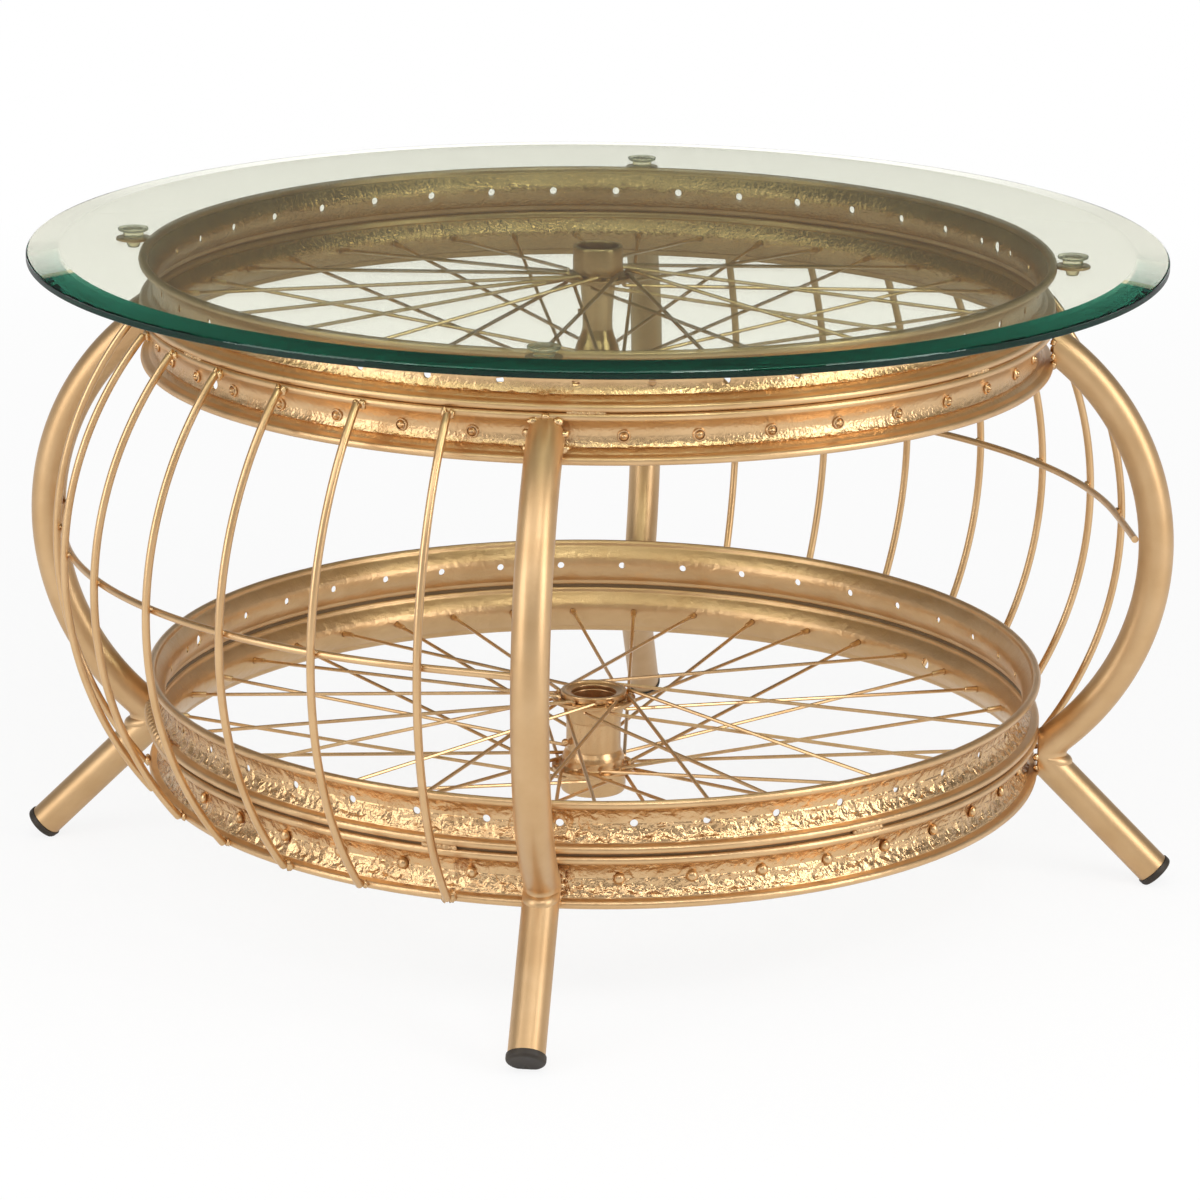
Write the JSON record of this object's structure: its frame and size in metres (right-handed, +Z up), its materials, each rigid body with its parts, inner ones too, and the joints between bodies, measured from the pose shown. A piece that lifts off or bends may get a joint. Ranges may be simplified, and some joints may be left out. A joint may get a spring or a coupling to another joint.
{
  "type": "coffee table",
  "caption": "Round glass coffee table on two stacked bicycle wheels joined by bowed tube legs and wire cage panels.",
  "frame": {"origin": "on the floor under the middle of the table", "axes": "+Z up along the wheels' common axis, the front leg at -Y and the right leg at +X"},
  "size_m": [0.8478, 0.8478, 0.4655],
  "materials": {
    "gold_paint": "satin champagne gold metallic paint, pitted in the rim channels",
    "black_plastic": "dark brown to black tube end caps",
    "clear_rubber": "clear soft pads under the glass",
    "glass": "polished clear pane with a green edge and a wide bevel"
  },
  "bodies": {
    "table_frame": {"lower_spoked_rim": "gold_paint", "lower_open_rim": "gold_paint", "lower_hub_and_spokes": "gold_paint", "lower_hub_top_cup": "gold_paint", "lower_hub_base_cup": "gold_paint", "upper_spoked_rim": "gold_paint", "upper_open_rim": "gold_paint", "upper_hub_and_spokes": "gold_paint", "upper_hub_top_cup": "gold_paint", "upper_hub_base_cup": "gold_paint", "lower_hub_oil_cap": "gold_paint", "leg_bow_right": "gold_paint", "leg_foot_right": "gold_paint", "pad_washer_right": "gold_paint", "leg_bow_back": "gold_paint", "leg_foot_back": "gold_paint", "pad_washer_back": "gold_paint", "leg_bow_left": "gold_paint", "leg_foot_left": "gold_paint", "pad_washer_left": "gold_paint", "leg_bow_front": "gold_paint", "leg_foot_front": "gold_paint", "pad_washer_front": "gold_paint", "front_left_rod_1": "gold_paint", "front_left_rod_2": "gold_paint", "front_left_rod_3": "gold_paint", "front_left_rod_4": "gold_paint", "front_left_rod_5": "gold_paint", "front_left_rod_6": "gold_paint", "front_left_rod_7": "gold_paint", "front_left_wire": "gold_paint", "back_right_rod_1": "gold_paint", "back_right_rod_2": "gold_paint", "back_right_rod_3": "gold_paint", "back_right_rod_4": "gold_paint", "back_right_rod_5": "gold_paint", "back_right_rod_6": "gold_paint", "back_right_rod_7": "gold_paint", "back_right_wire": "gold_paint", "foot_cap_right": "black_plastic", "foot_cap_back": "black_plastic", "foot_cap_left": "black_plastic", "foot_cap_front": "black_plastic", "glass_pad_right": "clear_rubber", "glass_pad_back": "clear_rubber", "glass_pad_left": "clear_rubber", "glass_pad_front": "clear_rubber"},
    "glass_top": {"glass_top": "glass"}
  },
  "joints": [
    {"name": "glass_lift", "type": "slide", "parent": "table_frame", "child": "glass_top", "axis": [0, 0, 1], "range_m": [0, 0.08]}
  ]
}
